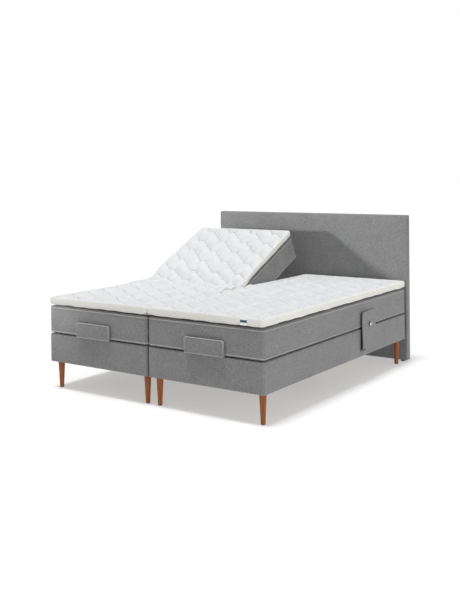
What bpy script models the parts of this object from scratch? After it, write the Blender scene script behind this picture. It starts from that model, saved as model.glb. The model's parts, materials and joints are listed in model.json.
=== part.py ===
"""Adjustable twin bed with a headboard: two motor boxes side by side, each with its own steel lifting
frame, hinged decks, twin drive, mattress and topper. Metres, +Z up, +X to the right seen from the foot,
+Y towards the headboard. The left back section rests raised and everything else rests flat."""

import math

import bmesh
import bpy

# The bed as a whole. Lengths along the bed are measured from the foot face of the boxes.
BED_WIDTH = 1.80
BED_LENGTH = 2.00
UNIT_GAP = 0.004
UNIT_WIDTH = (BED_WIDTH - UNIT_GAP) / 2
UNIT_X = (BED_WIDTH + UNIT_GAP) / 4
TOUCH = 0.0003
WELD = 0.002
CUT_PAST = 0.020

# Heights of the stack.
BOX_BOTTOM = 0.188
BOX_TOP = 0.3865
DECK_TOP = 0.3922
MATTRESS_BOTTOM = DECK_TOP + TOUCH
MATTRESS_TOP = 0.5800
TOPPER_BOTTOM = MATTRESS_TOP + TOUCH
TOPPER_TOP = 0.6480

# The headboard stands clear of the boxes on two brackets.
HEADBOARD_GAP = 0.035
HEADBOARD_THICKNESS = 0.060
HEADBOARD_TOP = 1.150
HEADBOARD_ROUNDING = 0.008
GLIDE_HEIGHT = 0.012
GLIDE_RADIUS = 0.018
GLIDE_INSET = 0.050

# Mattress retainer at the foot of each unit.
RETAINER_WIDTH = 0.300
RETAINER_TOP = 0.488
RETAINER_THICKNESS = 0.018
RETAINER_GAP = 0.004
RETAINER_OUTWARD = 0.019
STRAP_WIDTH = 0.200
STRAP_THICKNESS = 0.0030
STRAP_REACH = 0.100
STRAP_BOTTOM = 0.3888
STRAP_LIFT = 0.0002
STRAP_CLEARANCE = 0.0015
RETAINER_ROUNDING = 0.005

# The foot face lies where the whole object is centred on Y = 0.
FOOT_Y = -(BED_LENGTH + HEADBOARD_GAP + HEADBOARD_THICKNESS - RETAINER_GAP - RETAINER_THICKNESS) / 2

# Hinge lines, as (distance from the foot, height), and the pose at rest.
BACK_HINGE = (1.060, 0.330)
THIGH_HINGE = (0.820, 0.330)
KNEE_HINGE = (0.460, 0.367)
LEFT_BACK_RAISED = math.radians(26)

# Box of each unit.
WALL = 0.030
BOX_FLOOR = 0.018
FLOOR_LEDGE = 0.100
CROSS_BOARDS = ((0.62, 0.70), (1.22, 1.30))
BOX_ROUNDING = 0.010

# Legs.
LEG_TOP_RADIUS = 0.0225
LEG_FOOT_RADIUS = 0.0140
LEG_FOOT_ROUNDING = 0.002
LEG_INSET_X = 0.050
LEG_INSET_Y = 0.060

# Fixed steel frame in the box.
RAIL_WIDTH = 0.030
RAIL_BOTTOM = 0.305
RAIL_TOP = 0.355
FRAME_HALF_WIDTH = UNIT_WIDTH / 2 - WALL - 0.001
FRAME_ENDS = (0.032, 1.968)
CROSS_TUBES = ((0.690, 0.720), (1.190, 1.220))

# Moving frames and decks.
TUBE = 0.020
CROSS_BAR = 0.018
CROSS_BAR_LIFT = 0.001
CHEEK_HALF_WIDTH = 0.007
CHEEK_HALF_LENGTH = 0.009
TUBE_BOTTOM = 0.357
LIFT_RAIL_X = 0.350
PLY_BOTTOM = TUBE_BOTTOM + TUBE + TOUCH
DECK_HALF_WIDTH = 0.400
BACK_DECK = (1.095, 1.955)
SEAT_DECK = (0.845, 1.005)
THIGH_DECK = (0.474, 0.798)
CALF_DECK = (0.045, 0.448)
TORSION_RADIUS = 0.0125
TORSION_BORE = 0.0140
TORSION_HALF_LENGTH = FRAME_HALF_WIDTH - 0.004
KNEE_PIN_RADIUS = 0.005
KNEE_PIN_BORE = 0.0058
CALF_BATTEN_X = 0.322
BATTEN_WIDTH = 0.024
BATTEN_SETBACK = 0.012
BATTEN_INSET = 0.001
BACK_REACH = 1.940
BACK_CROSS_BARS = (1.480, 1.918)
THIGH_CROSS_BARS = (0.640,)

# Twin drive: sliders push levers that hang from the torsion tubes.
LEVER_LENGTH = 0.080
LEVER_WIDTH = 0.010
LEVER_DEPTH = 0.010
ROLLER_RADIUS = 0.010
ROLLER_WIDTH = 0.024
BACK_LEVER_START = math.radians(-30)
THIGH_LEVER_START = math.radians(15)
BACK_RANGE = math.radians(60)
BACK_TRAVEL_PER_RADIAN = LEVER_LENGTH / BACK_RANGE
SLIDER_CLEARANCE = 0.002
SLIDER_LENGTH = 0.028
SLIDER_BOTTOM = 0.224
SLIDER_TOP = 0.266
SLIDER_WIDTH = 0.036
SLIDER_ROUNDING = 0.002
DRIVE_WIDTH = 0.110
DRIVE_ENDS = (0.735, 1.180)
DRIVE_BOTTOM = 0.212
DRIVE_TOP = 0.292
DRIVE_SLOT_WIDTH = 0.040
BACK_SLOT = (0.965, 1.150)
LEG_SLOT = (0.765, 0.925)
DRIVE_FLOOR = 0.222
MOTOR_RADIUS = 0.031
MOTOR_X = 0.070
MOTOR_LENGTH = 0.150
DRIVE_ROUNDING = 0.004
LUG_INSET = 0.010
LUG_SETBACK = 0.005

# Soft parts. Each mattress and topper is solid at the foot and the head, and bends between.
CALF_END = 0.360
LEG_BEND_END = 0.860
BACK_BEND_END = 1.360
UNDERSIDE_TURN = (1.030, 1.085)
SOFT_GAP = 0.0005
BEND_CUTS = 12

# Handset pocket on the outer side of each box.
POCKET_Y = (1.230, 1.470)
POCKET_Z = (0.230, 0.505)
POCKET_DEPTH_FOOT = 0.0245
POCKET_DEPTH_HEAD = 0.0065
POCKET_WALL = 0.0025
POCKET_INNER = 0.0005
POCKET_HOLLOW_INNER = 0.0017
SNAP_RADIUS = 0.017
SNAP_HEIGHT = 0.006
SNAP_ROUNDING = 0.0015
SNAP_AT = (1.360, 0.405)
POCKET_CLOSED_END = 0.030
POCKET_MATTRESS_GAP = 0.0035
POCKET_BACK_LAP = 0.003
HANDSET_SIZE = (0.013, 0.045, 0.140)
HANDSET_INNER = 0.0022
HANDSET_ROUNDING = 0.003
HANDSET_FOOT_EDGE = 1.2395

# Spacers between boxes and headboard.
BRACKET_WIDTH = 0.120
BRACKET_Z = (0.250, 0.340)
BRACKET_SHEET = 0.003

ROUND_SIDES = 24


def clear_scene():
    for found in list(bpy.data.objects):
        bpy.data.objects.remove(found, do_unlink=True)


def make_collection(name):
    collection = bpy.data.collections.new(name)
    bpy.context.scene.collection.children.link(collection)
    return collection


def make_material(name, colour, roughness, metallic=0.0):
    material = bpy.data.materials.new(name)
    material.use_nodes = True
    shader = material.node_tree.nodes["Principled BSDF"]
    shader.inputs["Base Color"].default_value = (*colour, 1.0)
    shader.inputs["Roughness"].default_value = roughness
    shader.inputs["Metallic"].default_value = metallic
    return material


clear_scene()
BED = make_collection("adjustable_bed")
CUTTERS = make_collection("bed_cutters")
GREY_FABRIC = make_material("grey_upholstery", (0.215, 0.215, 0.220), 0.92)
WHITE_TICKING = make_material("white_quilted_ticking", (0.790, 0.800, 0.810), 0.90)
LEG_WOOD = make_material("stained_beech", (0.300, 0.092, 0.032), 0.45)
PLYWOOD = make_material("birch_plywood", (0.560, 0.420, 0.270), 0.70)
FRAME_STEEL = make_material("powder_coated_steel", (0.050, 0.052, 0.055), 0.50, 0.6)
ZINC_STEEL = make_material("zinc_plated_steel", (0.560, 0.570, 0.580), 0.35, 1.0)
BLACK_PLASTIC = make_material("black_plastic", (0.018, 0.018, 0.019), 0.55)
NYLON = make_material("white_nylon", (0.620, 0.610, 0.580), 0.45)


def new_object(name, mesh, material, location):
    """Links an object. One without a material is a helper for a Boolean."""
    part = bpy.data.objects.new(name, mesh)
    part.location = location
    if material is None:
        part.hide_render = True
        part.display_type = "WIRE"
        CUTTERS.objects.link(part)
    else:
        mesh.materials.append(material)
        BED.objects.link(part)
    return part


def finish_mesh(name, shape):
    mesh = bpy.data.meshes.new(name)
    shape.to_mesh(mesh)
    shape.free()
    return mesh


def box(name, spans, material=None, origin=None):
    """A box from its spans along X, Y and Z, with its origin in the middle unless one is given."""
    middle = [(low + high) / 2 for low, high in spans]
    origin = origin or middle
    shape = bmesh.new()
    bmesh.ops.create_cube(shape, size=1.0)
    bmesh.ops.scale(shape, vec=[high - low for low, high in spans], verts=shape.verts)
    bmesh.ops.translate(shape, vec=[m - o for m, o in zip(middle, origin)], verts=shape.verts)
    return new_object(name, finish_mesh(name, shape), material, origin)


def cylinder(name, radius, length, centre, axis, material=None):
    """A cylinder along X or Z, smooth round its side."""
    shape = bmesh.new()
    bmesh.ops.create_cone(
        shape, cap_ends=True, segments=ROUND_SIDES, radius1=radius, radius2=radius, depth=length
    )
    mesh = finish_mesh(name, shape)
    mesh.shade_smooth()
    mesh.set_sharp_from_angle(angle=math.radians(40))
    part = new_object(name, mesh, material, centre)
    if axis == "X":
        part.rotation_euler = (0, math.pi / 2, 0)
    return part


def combine(part, operation, helpers):
    """Joins helpers to a part, or cuts them out of it."""
    for helper in helpers:
        modifier = part.modifiers.new(helper.name, "BOOLEAN")
        modifier.operation = operation
        modifier.object = helper


def round_edges(part, width):
    modifier = part.modifiers.new("rounded_edges", "BEVEL")
    modifier.width = width
    modifier.segments = 2
    modifier.limit_method = "ANGLE"
    modifier.angle_limit = math.radians(50)


def make_empty(name, location, parent=None, raised=0.0):
    empty = bpy.data.objects.new(name, None)
    BED.objects.link(empty)
    empty.location = location
    empty.rotation_euler = (raised, 0, 0)
    empty.parent = parent
    return empty


def ride(empty, hinge, parts):
    """Hangs parts that were laid out flat in the unit's own frame from an empty on their hinge line."""
    for part in parts:
        part.parent = empty
        part.location = (part.location.x, part.location.y - hinge[0], part.location.z - hinge[1])


def bays(ends, bars):
    """The free runs between bars that cross a frame."""
    edges = [ends[0], *(edge for bar in bars for edge in bar), ends[1]]
    return zip(edges[::2], edges[1::2])


def motor_box(side):
    """Upholstered box: four walls, open at the top for the lifting frame, and a bottom ledge for the legs."""
    half = UNIT_WIDTH / 2
    body = box(f"motor_box_{side}", ((-half, half), (0, BED_LENGTH), (BOX_BOTTOM, BOX_TOP)), GREY_FABRIC)
    round_edges(body, BOX_ROUNDING)
    floor = BOX_BOTTOM + BOX_FLOOR
    inside = (WALL - half, half - WALL)
    cutters = [box(f"box_cavity_{side}", (inside, (WALL, BED_LENGTH - WALL), (floor, BOX_TOP + CUT_PAST)))]
    window = (FLOOR_LEDGE - half, half - FLOOR_LEDGE)
    for number, run in enumerate(bays((FLOOR_LEDGE, BED_LENGTH - FLOOR_LEDGE), CROSS_BOARDS)):
        depth = (BOX_BOTTOM - CUT_PAST, floor + CUT_PAST)
        cutters.append(box(f"box_window_{number}_{side}", (window, run, depth)))
    combine(body, "DIFFERENCE", cutters)
    return [body, *cutters]


def leg(name, x, y):
    """Turned, tapered leg: its profile runs down the outer side and is screwed round Z."""
    foot = TOUCH - BOX_BOTTOM
    profile = (
        (0, 0),
        (LEG_TOP_RADIUS, 0),
        (LEG_FOOT_RADIUS, foot + LEG_FOOT_ROUNDING),
        (LEG_FOOT_RADIUS - LEG_FOOT_ROUNDING, foot),
        (0, foot),
    )
    mesh = bpy.data.meshes.new(name)
    edges = [(i, i + 1) for i in range(len(profile) - 1)]
    mesh.from_pydata([(radius, 0, height) for radius, height in profile], edges, [])
    part = new_object(name, mesh, LEG_WOOD, (x, y, BOX_BOTTOM - TOUCH))
    screw = part.modifiers.new("turned", "SCREW")
    screw.steps = ROUND_SIDES
    screw.render_steps = ROUND_SIDES
    screw.use_merge_vertices = True
    screw.merge_threshold = 0.00001
    screw.use_smooth_shade = True
    return part


def legs(side, outward):
    out = outward * (UNIT_WIDTH / 2 - LEG_INSET_X)
    ends = (("foot", LEG_INSET_Y), ("head", BED_LENGTH - LEG_INSET_Y))
    rows = (("outer", out), ("inner", -out))
    return [leg(f"leg_{end}_{row}_{side}", x, y) for end, y in ends for row, x in rows]


def base_frame(side):
    """Fixed frame: side rails, end tubes and cross tubes, bored for the torsion tubes."""
    half = FRAME_HALF_WIDTH
    frame = box(f"base_frame_{side}", ((-half, half), FRAME_ENDS, (RAIL_BOTTOM, RAIL_TOP)), FRAME_STEEL)
    inside = (RAIL_WIDTH - half, half - RAIL_WIDTH)
    depth = (RAIL_BOTTOM - CUT_PAST, RAIL_TOP + CUT_PAST)
    ends = (FRAME_ENDS[0] + RAIL_WIDTH, FRAME_ENDS[1] - RAIL_WIDTH)
    cutters = []
    for number, run in enumerate(bays(ends, CROSS_TUBES)):
        cutters.append(box(f"frame_bay_{number}_{side}", (inside, run, depth)))
    for word, hinge in (("back", BACK_HINGE), ("thigh", THIGH_HINGE)):
        cutters.append(cylinder(f"{word}_bore_{side}", TORSION_BORE, BED_WIDTH, (0, *hinge), "X"))
    combine(frame, "DIFFERENCE", cutters)
    return [frame, *cutters]


def lift_frame(name, side, hinge, reach, cross_bars, lever_angle):
    """Torsion tube, two lift rails, cross bars, and a lever with its roller, welded into one frame."""
    frame = cylinder(f"{name}_{side}", TORSION_RADIUS, 2 * TORSION_HALF_LENGTH, (0, *hinge), "X", FRAME_STEEL)
    ahead = 1 if reach > hinge[0] else -1
    run = sorted((hinge[0] - ahead * TUBE / 2, reach))
    pieces = []
    for word, x in (("a", -LIFT_RAIL_X), ("b", LIFT_RAIL_X)):
        rail = ((x - TUBE / 2, x + TUBE / 2), run, (TUBE_BOTTOM, TUBE_BOTTOM + TUBE))
        pieces.append(box(f"{name}_rail_{word}_{side}", rail))
        along = (hinge[0] - CHEEK_HALF_LENGTH, hinge[0] + CHEEK_HALF_LENGTH)
        cheek = ((x - CHEEK_HALF_WIDTH, x + CHEEK_HALF_WIDTH), along, (hinge[1], TUBE_BOTTOM + TUBE / 2))
        pieces.append(box(f"{name}_cheek_{word}_{side}", cheek))
    for number, y in enumerate(cross_bars):
        height = (TUBE_BOTTOM + CROSS_BAR_LIFT, TUBE_BOTTOM + CROSS_BAR)
        bar = ((-LIFT_RAIL_X, LIFT_RAIL_X), (y, y + CROSS_BAR), height)
        pieces.append(box(f"{name}_cross_{number}_{side}", bar))
    across = (-LEVER_WIDTH / 2, LEVER_WIDTH / 2)
    along = (hinge[0] - LEVER_DEPTH / 2, hinge[0] + LEVER_DEPTH / 2)
    hang = (hinge[1] - LEVER_LENGTH, hinge[1])
    lever = box(f"{name}_lever_{side}", (across, along, hang), origin=(0, *hinge))
    lever.rotation_euler.x = lever_angle
    tip_y = hinge[0] + LEVER_LENGTH * math.sin(lever_angle)
    tip_z = hinge[1] - LEVER_LENGTH * math.cos(lever_angle)
    pieces.append(lever)
    pieces.append(cylinder(f"{name}_roller_{side}", ROLLER_RADIUS, ROLLER_WIDTH, (0, tip_y, tip_z), "X"))
    combine(frame, "UNION", pieces)
    return [frame, *pieces]


def panel(name, run):
    """Plywood deck panel."""
    return box(name, ((-DECK_HALF_WIDTH, DECK_HALF_WIDTH), run, (PLY_BOTTOM, DECK_TOP)), PLYWOOD)


def seat_deck(side):
    """Fixed panel on two battens that stand on the rails of the base frame."""
    deck = panel(f"seat_deck_{side}", SEAT_DECK)
    run = (SEAT_DECK[0] + BATTEN_SETBACK, SEAT_DECK[1] - BATTEN_SETBACK)
    height = (RAIL_TOP + TOUCH, PLY_BOTTOM + WELD)
    battens = []
    for word, sign in (("a", -1), ("b", 1)):
        edge = DECK_HALF_WIDTH - BATTEN_INSET
        across = sorted((sign * edge, sign * (edge - BATTEN_WIDTH)))
        battens.append(box(f"seat_batten_{word}_{side}", (across, run, height)))
    combine(deck, "UNION", battens)
    return [deck, *battens]


def calf_deck(side, strap_x):
    """Panel on two battens that hinge on the knee pin, let in at the foot for the retainer's strap."""
    deck = panel(f"calf_deck_{side}", CALF_DECK)
    run = (CALF_DECK[0] + BATTEN_SETBACK, KNEE_HINGE[0] + TUBE / 2)
    battens = []
    for word, x in (("a", -CALF_BATTEN_X), ("b", CALF_BATTEN_X)):
        across = (x - TUBE / 2, x + TUBE / 2)
        height = (TUBE_BOTTOM, PLY_BOTTOM + WELD)
        battens.append(box(f"calf_batten_{word}_{side}", (across, run, height)))
    half = STRAP_WIDTH / 2 + STRAP_CLEARANCE
    depth = (STRAP_BOTTOM - TOUCH, DECK_TOP + CUT_PAST)
    along = (CALF_DECK[0] - CUT_PAST, STRAP_REACH + STRAP_CLEARANCE)
    recess = box(f"strap_recess_{side}", ((strap_x - half, strap_x + half), along, depth))
    bore = cylinder(f"calf_bore_{side}", KNEE_PIN_BORE, BED_WIDTH, (0, *KNEE_HINGE), "X")
    combine(deck, "UNION", battens)
    combine(deck, "DIFFERENCE", [recess, bore])
    return [deck, *battens, recess, bore]


def drive(side):
    """Twin drive: a slotted housing with a motor on either side, hung from the cross tubes by its lugs."""
    half = DRIVE_WIDTH / 2
    spans = ((-half, half), DRIVE_ENDS, (DRIVE_BOTTOM, DRIVE_TOP))
    housing = box(f"drive_housing_{side}", spans, BLACK_PLASTIC)
    round_edges(housing, DRIVE_ROUNDING)
    lug_across = (LUG_INSET - half, half - LUG_INSET)
    lug_height = (DRIVE_TOP - LUG_INSET, RAIL_BOTTOM - TOUCH)
    lug_runs = (
        ("foot", (CROSS_TUBES[0][0], LEG_SLOT[0] - LUG_SETBACK)),
        ("head", (BACK_SLOT[1] + LUG_SETBACK, CROSS_TUBES[1][1])),
    )
    lugs = [box(f"drive_lug_{end}_{side}", (lug_across, run, lug_height)) for end, run in lug_runs]
    middle = ((LEG_SLOT[1] + BACK_SLOT[0]) / 2, (DRIVE_BOTTOM + DRIVE_TOP) / 2)
    motors = []
    for word, x in (("a", -MOTOR_X), ("b", MOTOR_X)):
        motor = cylinder(f"drive_motor_{word}_{side}", MOTOR_RADIUS, MOTOR_LENGTH, (x, *middle), "Z")
        motor.rotation_euler.x = math.pi / 2
        motors.append(motor)
    across = (-DRIVE_SLOT_WIDTH / 2, DRIVE_SLOT_WIDTH / 2)
    depth = (DRIVE_FLOOR, DRIVE_TOP + CUT_PAST)
    slot_runs = (("back", BACK_SLOT), ("leg", LEG_SLOT))
    slots = [box(f"drive_slot_{word}_{side}", (across, run, depth)) for word, run in slot_runs]
    combine(housing, "UNION", lugs + motors)
    combine(housing, "DIFFERENCE", slots)
    return [housing, *lugs, *motors, *slots]


def slider(name, face_y, ahead):
    """Spindle nut: a block whose face stands a small clearance off the lever's roller."""
    run = sorted((face_y, face_y - ahead * SLIDER_LENGTH))
    half = SLIDER_WIDTH / 2
    block = box(name, ((-half, half), run, (SLIDER_BOTTOM, SLIDER_TOP)), NYLON)
    round_edges(block, SLIDER_ROUNDING)
    return block


def retainer(side, x):
    """Padded mattress retainer: an upright plate on a flat strap that lies in the calf deck."""
    half = RETAINER_WIDTH / 2
    thick = (-RETAINER_GAP - RETAINER_THICKNESS, -RETAINER_GAP)
    spans = ((x - half, x + half), thick, (STRAP_BOTTOM, RETAINER_TOP))
    plate = box(f"mattress_retainer_{side}", spans, GREY_FABRIC)
    round_edges(plate, RETAINER_ROUNDING)
    strap_half = STRAP_WIDTH / 2
    along = (-RETAINER_GAP - RETAINER_THICKNESS / 2, STRAP_REACH)
    height = (STRAP_BOTTOM + STRAP_LIFT, STRAP_BOTTOM + STRAP_THICKNESS)
    strap = box(f"retainer_strap_{side}", ((x - strap_half, x + strap_half), along, height))
    combine(plate, "UNION", [strap])
    return [plate, strap]


def bent(y, z, raised):
    """Where a point of a flat mattress goes when the back section is raised. The underside turns sharply
    at the hinge, so that it lies on both decks, and the turn spreads out smoothly towards the top."""
    spread = (z - MATTRESS_BOTTOM) / (TOPPER_TOP - MATTRESS_BOTTOM)
    start = UNDERSIDE_TURN[0] + spread * (LEG_BEND_END - UNDERSIDE_TURN[0])
    end = UNDERSIDE_TURN[1] + spread * (BACK_BEND_END - UNDERSIDE_TURN[1])
    share = min(max((y - start) / (end - start), 0.0), 1.0)
    turn = raised * share * share * (3 - 2 * share)
    along = y - BACK_HINGE[0]
    up = z - BACK_HINGE[1]
    cos, sin = math.cos(turn), math.sin(turn)
    return BACK_HINGE[0] + along * cos - up * sin, BACK_HINGE[1] + along * sin + up * cos


def soft_parts(side, word, heights, raised):
    """One mattress or topper in four lengths: firm at foot and head, with a bending length behind each."""
    half = UNIT_WIDTH / 2
    material = GREY_FABRIC if word == "mattress" else WHITE_TICKING
    ends = (0, CALF_END, LEG_BEND_END, BACK_BEND_END, BED_LENGTH)
    parts = []
    for name, low, high in zip(("calf", "leg_bend", "back_bend", "back"), ends, ends[1:]):
        start = low + (SOFT_GAP if low else 0)
        parts.append(box(f"{word}_{name}_{side}", ((-half, half), (start, high), heights), material))
    bend = parts[2]
    shape = bmesh.new()
    shape.from_mesh(bend.data)
    long_edges = [e for e in shape.edges if abs(e.verts[0].co.y - e.verts[1].co.y) > SOFT_GAP]
    bmesh.ops.subdivide_edges(shape, edges=long_edges, cuts=BEND_CUTS, use_grid_fill=True)
    for vert in shape.verts:
        y, z = bent(bend.location.y + vert.co.y, bend.location.z + vert.co.z, raised)
        vert.co.y = y - bend.location.y
        vert.co.z = z - bend.location.z
    shape.to_mesh(bend.data)
    shape.free()
    return parts


def pocket_depth(y):
    """How far the pocket's front stands off the box: most at the foot side, where it is open."""
    share = (y - POCKET_Y[0]) / (POCKET_Y[1] - POCKET_Y[0])
    return POCKET_DEPTH_FOOT + share * (POCKET_DEPTH_HEAD - POCKET_DEPTH_FOOT)


def wedge(name, outward, inner, run, wall, height, material=None):
    """A box beside the unit whose outer face follows the pocket's slant, set in by a wall."""
    half = UNIT_WIDTH / 2
    part = box(name, ((0, 1), run, height), material, origin=(0, 0, 0))
    for vert in part.data.vertices:
        vert.co.x = outward * (half + (pocket_depth(vert.co.y) - wall if vert.co.x > 0.5 else inner))
    if outward < 0:
        part.data.flip_normals()
    return part


def pocket(side, outward):
    """Handset pocket: a front panel closed below and behind, open above and towards the foot."""
    half = UNIT_WIDTH / 2
    shell = wedge(f"handset_pocket_{side}", outward, POCKET_INNER, POCKET_Y, 0, POCKET_Z, GREY_FABRIC)
    run = (POCKET_Y[0] - CUT_PAST, POCKET_Y[1] - POCKET_CLOSED_END)
    height = (POCKET_Z[0] + POCKET_WALL, POCKET_Z[1] + CUT_PAST)
    hollow = wedge(f"pocket_hollow_{side}", outward, POCKET_HOLLOW_INNER, run, POCKET_WALL, height)
    across = sorted((outward * (half - CUT_PAST), outward * (half + POCKET_MATTRESS_GAP)))
    along = (POCKET_Y[0] - CUT_PAST, POCKET_Y[1] + CUT_PAST)
    back = box(f"pocket_back_{side}", (across, along, (BOX_TOP - POCKET_BACK_LAP, POCKET_Z[1] + CUT_PAST)))
    combine(shell, "DIFFERENCE", [hollow, back])
    x = outward * (half + pocket_depth(SNAP_AT[0]) + TOUCH + SNAP_HEIGHT / 2)
    snap = cylinder(f"pocket_snap_{side}", SNAP_RADIUS, SNAP_HEIGHT, (x, *SNAP_AT), "X", BLACK_PLASTIC)
    slant = math.atan2(POCKET_DEPTH_FOOT - POCKET_DEPTH_HEAD, POCKET_Y[1] - POCKET_Y[0])
    snap.rotation_euler.z = outward * slant
    round_edges(snap, SNAP_ROUNDING)
    return [shell, hollow, back, snap]


def handset(side, outward):
    """Cordless handset that stands in the pocket."""
    inner = UNIT_WIDTH / 2 + HANDSET_INNER
    across = sorted((outward * inner, outward * (inner + HANDSET_SIZE[0])))
    run = (HANDSET_FOOT_EDGE, HANDSET_FOOT_EDGE + HANDSET_SIZE[1])
    low = POCKET_Z[0] + POCKET_WALL + TOUCH
    body = box(f"handset_{side}", (across, run, (low, low + HANDSET_SIZE[2])), BLACK_PLASTIC)
    round_edges(body, HANDSET_ROUNDING)
    return body


def headboard_bracket(side):
    """Folded steel spacer that ties the box to the headboard."""
    run = (BED_LENGTH + TOUCH, BED_LENGTH + HEADBOARD_GAP - TOUCH)
    half = BRACKET_WIDTH / 2
    bracket = box(f"headboard_bracket_{side}", ((-half, half), run, BRACKET_Z), ZINC_STEEL)
    inside = (run[0] + BRACKET_SHEET, run[1] - BRACKET_SHEET)
    across = (BRACKET_SHEET - half, half - BRACKET_SHEET)
    height = (BRACKET_Z[0] - CUT_PAST, BRACKET_Z[1] + CUT_PAST)
    cutter = box(f"bracket_inside_{side}", (across, inside, height))
    combine(bracket, "DIFFERENCE", [cutter])
    return [bracket, cutter]


def build_unit(side, outward, raised):
    """One half of the bed. It is laid out flat, then each part is hung from the body it moves with."""
    unit = make_empty(f"unit_{side}", (outward * UNIT_X, FOOT_Y, 0))
    back_axis = make_empty(f"back_axis_{side}", (0, *BACK_HINGE), unit, raised)
    thigh_axis = make_empty(f"thigh_axis_{side}", (0, *THIGH_HINGE), unit)
    knee_to_thigh = (0, KNEE_HINGE[0] - THIGH_HINGE[0], KNEE_HINGE[1] - THIGH_HINGE[1])
    knee_axis = make_empty(f"knee_axis_{side}", knee_to_thigh, thigh_axis)
    retainer_x = outward * RETAINER_OUTWARD

    mattress = soft_parts(side, "mattress", (MATTRESS_BOTTOM, MATTRESS_TOP), raised)
    topper = soft_parts(side, "topper", (TOPPER_BOTTOM, TOPPER_TOP), raised)

    back_frame = lift_frame("back_frame", side, BACK_HINGE, BACK_REACH, BACK_CROSS_BARS, BACK_LEVER_START)
    back_deck = panel(f"back_deck_{side}", BACK_DECK)
    ride(back_axis, BACK_HINGE, [*back_frame, back_deck, mattress[3], topper[3]])

    thigh_reach = KNEE_HINGE[0] - TUBE / 2
    thigh_frame = lift_frame(
        "thigh_frame", side, THIGH_HINGE, thigh_reach, THIGH_CROSS_BARS, THIGH_LEVER_START
    )
    knee_bore = cylinder(f"knee_bore_{side}", KNEE_PIN_BORE, BED_WIDTH, (0, *KNEE_HINGE), "X")
    combine(thigh_frame[0], "DIFFERENCE", [knee_bore])
    pin_length = 2 * LIFT_RAIL_X + 2 * TUBE
    knee_pin = cylinder(f"knee_pin_{side}", KNEE_PIN_RADIUS, pin_length, (0, *KNEE_HINGE), "X", ZINC_STEEL)
    thigh_deck = panel(f"thigh_deck_{side}", THIGH_DECK)
    ride(thigh_axis, THIGH_HINGE, [*thigh_frame, knee_bore, knee_pin, thigh_deck, mattress[1], topper[1]])
    calf_parts = [*calf_deck(side, retainer_x), *retainer(side, retainer_x), mattress[0], topper[0]]
    ride(knee_axis, KNEE_HINGE, calf_parts)

    back_tip = BACK_HINGE[0] + LEVER_LENGTH * math.sin(BACK_LEVER_START)
    back_face = back_tip - ROLLER_RADIUS - SLIDER_CLEARANCE + raised * BACK_TRAVEL_PER_RADIAN
    leg_face = THIGH_HINGE[0] + LEVER_LENGTH * math.sin(THIGH_LEVER_START) + ROLLER_RADIUS + SLIDER_CLEARANCE
    fixed = [*motor_box(side), *legs(side, outward), *base_frame(side), *seat_deck(side), *drive(side)]
    fixed += [slider(f"back_slider_{side}", back_face, 1), slider(f"leg_slider_{side}", leg_face, -1)]
    fixed += [mattress[2], topper[2], *pocket(side, outward), *headboard_bracket(side)]
    if side == "right":
        fixed.append(handset(side, outward))
    for part in fixed:
        part.parent = unit


def build_headboard():
    """Upholstered panel behind both units, on two glides."""
    front = FOOT_Y + BED_LENGTH + HEADBOARD_GAP
    run = (front, front + HEADBOARD_THICKNESS)
    half = BED_WIDTH / 2
    board = box("headboard", ((-half, half), run, (GLIDE_HEIGHT, HEADBOARD_TOP)), GREY_FABRIC)
    round_edges(board, HEADBOARD_ROUNDING)
    for word, x in (("left", GLIDE_INSET - half), ("right", half - GLIDE_INSET)):
        height = GLIDE_HEIGHT - TOUCH
        centre = (x, front + HEADBOARD_THICKNESS / 2, height / 2)
        cylinder(f"headboard_glide_{word}", GLIDE_RADIUS, height, centre, "Z", BLACK_PLASTIC)


build_unit("left", -1, LEFT_BACK_RAISED)
build_unit("right", 1, 0.0)
build_headboard()
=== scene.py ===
"""Adjustable twin bed: two motor boxes with mattresses and toppers side by side, and one headboard."""

import json
import math

import bpy
import numpy as np
from mathutils import Matrix, Vector

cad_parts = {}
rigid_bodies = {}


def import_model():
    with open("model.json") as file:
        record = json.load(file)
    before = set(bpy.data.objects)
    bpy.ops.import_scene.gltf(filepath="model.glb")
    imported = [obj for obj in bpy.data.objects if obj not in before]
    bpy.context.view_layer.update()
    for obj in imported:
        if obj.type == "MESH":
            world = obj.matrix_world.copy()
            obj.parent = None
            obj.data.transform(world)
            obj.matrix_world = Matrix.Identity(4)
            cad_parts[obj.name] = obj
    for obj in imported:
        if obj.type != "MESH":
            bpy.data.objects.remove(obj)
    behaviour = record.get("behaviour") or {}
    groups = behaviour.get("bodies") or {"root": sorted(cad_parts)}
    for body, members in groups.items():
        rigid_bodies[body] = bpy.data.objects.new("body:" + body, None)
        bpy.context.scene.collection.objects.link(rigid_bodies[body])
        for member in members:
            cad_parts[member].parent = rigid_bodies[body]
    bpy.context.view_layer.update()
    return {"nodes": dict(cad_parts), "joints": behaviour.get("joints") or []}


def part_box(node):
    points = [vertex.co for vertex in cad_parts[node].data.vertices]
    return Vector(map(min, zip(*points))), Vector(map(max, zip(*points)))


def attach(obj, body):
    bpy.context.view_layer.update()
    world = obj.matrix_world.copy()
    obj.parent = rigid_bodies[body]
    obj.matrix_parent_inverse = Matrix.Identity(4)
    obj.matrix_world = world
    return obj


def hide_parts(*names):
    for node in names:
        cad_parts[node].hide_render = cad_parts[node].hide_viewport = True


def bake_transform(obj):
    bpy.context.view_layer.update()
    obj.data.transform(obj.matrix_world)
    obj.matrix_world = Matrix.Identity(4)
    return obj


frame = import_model()
stage = bpy.context.scene.collection

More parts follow.
